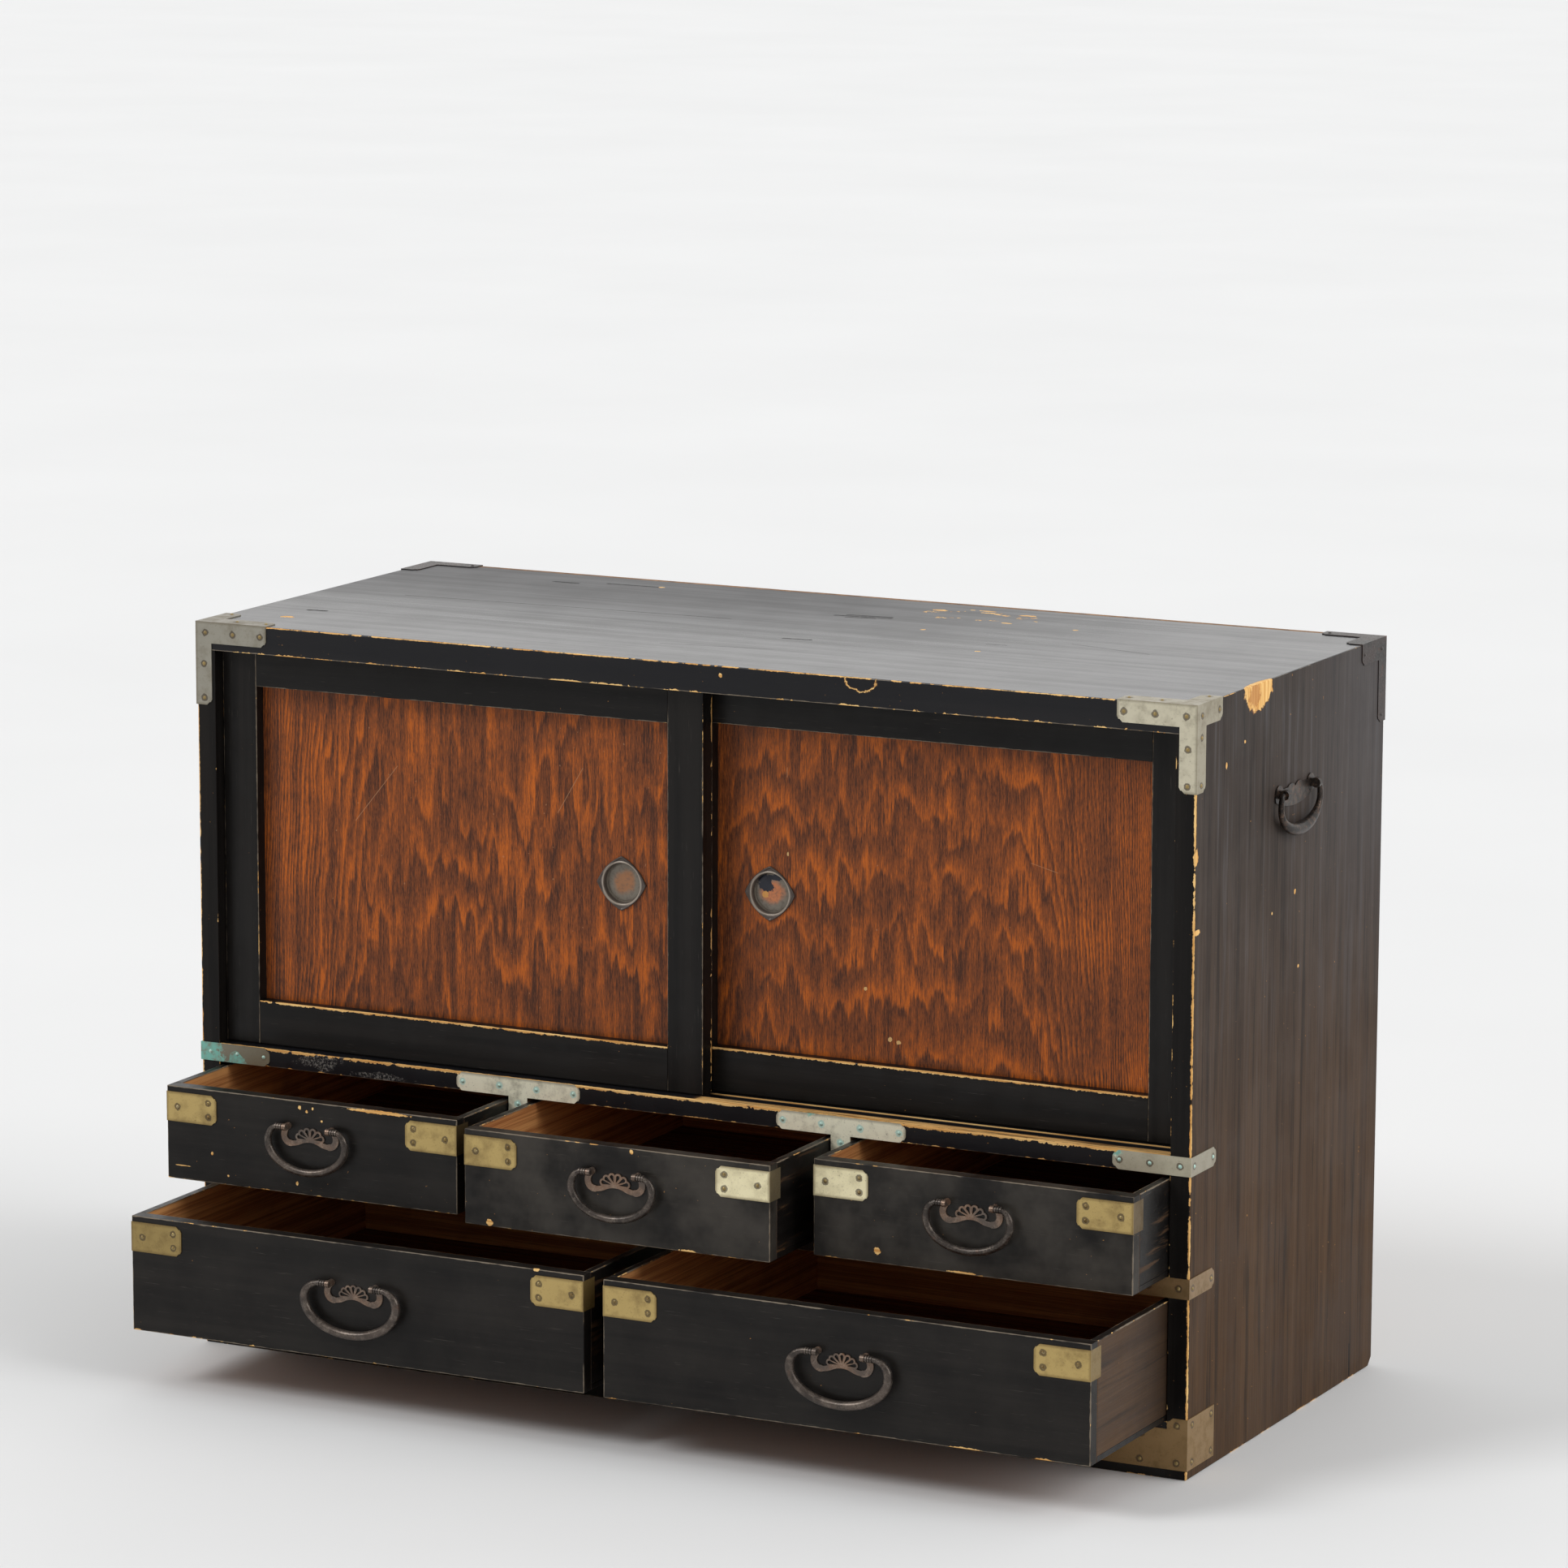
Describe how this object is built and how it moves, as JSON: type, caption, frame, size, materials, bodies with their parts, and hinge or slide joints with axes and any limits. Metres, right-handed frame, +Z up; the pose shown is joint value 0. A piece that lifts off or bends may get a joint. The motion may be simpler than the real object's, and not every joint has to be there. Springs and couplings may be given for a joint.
{
  "type": "tansu chest",
  "caption": "Low lacquered East Asian storage chest with a pair of sliding cupboard doors above two rows of drawers, metal corner plates, bail handles and side lifting handles.",
  "frame": {"origin": "on the floor under the middle of the case, on the underside of the middle base batten", "axes": "+X to the right seen from the front, +Y towards the back, +Z up; the doors and drawers face -Y"},
  "size_m": [0.963, 0.5675, 0.6437],
  "materials": {
    "black_lacquer": "thin black lacquer, worn along the arrises",
    "bare_cedar": "bare aged softwood",
    "drawer_wood": "bare planed softwood",
    "amber_panel": "clear amber lacquer over figured grain",
    "brass_plate": "tarnished sheet",
    "blackened_sheet": "blackened sheet",
    "forged_iron": "forged, browned by handling",
    "iron_nails": "dark domed heads"
  },
  "bodies": {
    "case": {"top_board": "black_lacquer", "side_board_left": "black_lacquer", "side_board_right": "black_lacquer", "back_boards": "bare_cedar", "bottom_board": "bare_cedar", "bottom_rail": "black_lacquer", "base_battens": "bare_cedar", "lower_divider": "bare_cedar", "middle_rail": "black_lacquer", "dust_board": "bare_cedar", "upper_dividers": "bare_cedar", "door_sill": "black_lacquer", "cupboard_floor": "bare_cedar", "top_corner_plates": "brass_plate", "bottom_corner_plates": "brass_plate", "back_corner_plates": "blackened_sheet", "end_straps": "brass_plate", "t_straps": "brass_plate", "case_nails": "iron_nails", "side_handle_plate_left": "forged_iron", "side_handle_plate_right": "forged_iron"},
    "door_left": {"door_left_frame": "black_lacquer", "door_left_panel": "amber_panel", "door_left_pull": "brass_plate"},
    "door_right": {"door_right_frame": "black_lacquer", "door_right_panel": "amber_panel", "door_right_pull": "brass_plate"},
    "side_bail_left": {"side_bail_left": "forged_iron"},
    "side_bail_right": {"side_bail_right": "forged_iron"},
    "drawer_a": {"drawer_a_front": "black_lacquer", "drawer_a_box": "drawer_wood", "drawer_a_bottom": "drawer_wood", "drawer_a_plates": "brass_plate", "drawer_a_handle_plate": "forged_iron"},
    "drawer_a_bail": {"drawer_a_bail": "forged_iron"},
    "drawer_b": {"drawer_b_front": "black_lacquer", "drawer_b_box": "drawer_wood", "drawer_b_bottom": "drawer_wood", "drawer_b_plates": "brass_plate", "drawer_b_handle_plate": "forged_iron"},
    "drawer_b_bail": {"drawer_b_bail": "forged_iron"},
    "drawer_c": {"drawer_c_front": "black_lacquer", "drawer_c_box": "drawer_wood", "drawer_c_bottom": "drawer_wood", "drawer_c_plates": "brass_plate", "drawer_c_handle_plate": "forged_iron"},
    "drawer_c_bail": {"drawer_c_bail": "forged_iron"},
    "drawer_d": {"drawer_d_front": "black_lacquer", "drawer_d_box": "drawer_wood", "drawer_d_bottom": "drawer_wood", "drawer_d_plates": "brass_plate", "drawer_d_handle_plate": "forged_iron"},
    "drawer_d_bail": {"drawer_d_bail": "forged_iron"},
    "drawer_e": {"drawer_e_front": "black_lacquer", "drawer_e_box": "drawer_wood", "drawer_e_bottom": "drawer_wood", "drawer_e_plates": "brass_plate", "drawer_e_handle_plate": "forged_iron"},
    "drawer_e_bail": {"drawer_e_bail": "forged_iron"}
  },
  "joints": [
    {"name": "door_left_slide", "type": "slide", "parent": "case", "child": "door_left", "axis": [1, 0, 0], "range_m": [0, 0.434]},
    {"name": "door_right_slide", "type": "slide", "parent": "case", "child": "door_right", "axis": [-1, 0, 0], "range_m": [0, 0.434]},
    {"name": "drawer_a_slide", "type": "slide", "parent": "case", "child": "drawer_a", "axis": [0, -1, 0], "range_m": [-0.089, 0.212]},
    {"name": "drawer_a_bail_hinge", "type": "hinge", "parent": "drawer_a", "child": "drawer_a_bail", "pos_m": [-0.30733, -0.2975, 0.2291], "axis": [-1, 0, 0], "range_deg": [-4, 175]},
    {"name": "drawer_b_slide", "type": "slide", "parent": "case", "child": "drawer_b", "axis": [0, -1, 0], "range_m": [-0.111, 0.19]},
    {"name": "drawer_b_bail_hinge", "type": "hinge", "parent": "drawer_b", "child": "drawer_b_bail", "pos_m": [0, -0.3195, 0.2291], "axis": [-1, 0, 0], "range_deg": [-4, 175]},
    {"name": "drawer_c_slide", "type": "slide", "parent": "case", "child": "drawer_c", "axis": [0, -1, 0], "range_m": [-0.071, 0.23]},
    {"name": "drawer_c_bail_hinge", "type": "hinge", "parent": "drawer_c", "child": "drawer_c_bail", "pos_m": [0.30733, -0.2795, 0.2291], "axis": [-1, 0, 0], "range_deg": [-4, 175]},
    {"name": "drawer_d_slide", "type": "slide", "parent": "case", "child": "drawer_d", "axis": [0, -1, 0], "range_m": [-0.148, 0.153]},
    {"name": "drawer_d_bail_hinge", "type": "hinge", "parent": "drawer_d", "child": "drawer_d_bail", "pos_m": [-0.2305, -0.3565, 0.1141], "axis": [-1, 0, 0], "range_deg": [-4, 175]},
    {"name": "drawer_e_slide", "type": "slide", "parent": "case", "child": "drawer_e", "axis": [0, -1, 0], "range_m": [-0.151, 0.15]},
    {"name": "drawer_e_bail_hinge", "type": "hinge", "parent": "drawer_e", "child": "drawer_e_bail", "pos_m": [0.2305, -0.3595, 0.1141], "axis": [-1, 0, 0], "range_deg": [-4, 175]},
    {"name": "side_bail_left_hinge", "type": "hinge", "parent": "case", "child": "side_bail_left", "pos_m": [-0.4762, 0.0035, 0.5425], "axis": [0, 1, 0], "range_deg": [-0.8, 175]},
    {"name": "side_bail_right_hinge", "type": "hinge", "parent": "case", "child": "side_bail_right", "pos_m": [0.4762, 0.0035, 0.5425], "axis": [0, -1, 0], "range_deg": [-0.8, 175]}
  ]
}
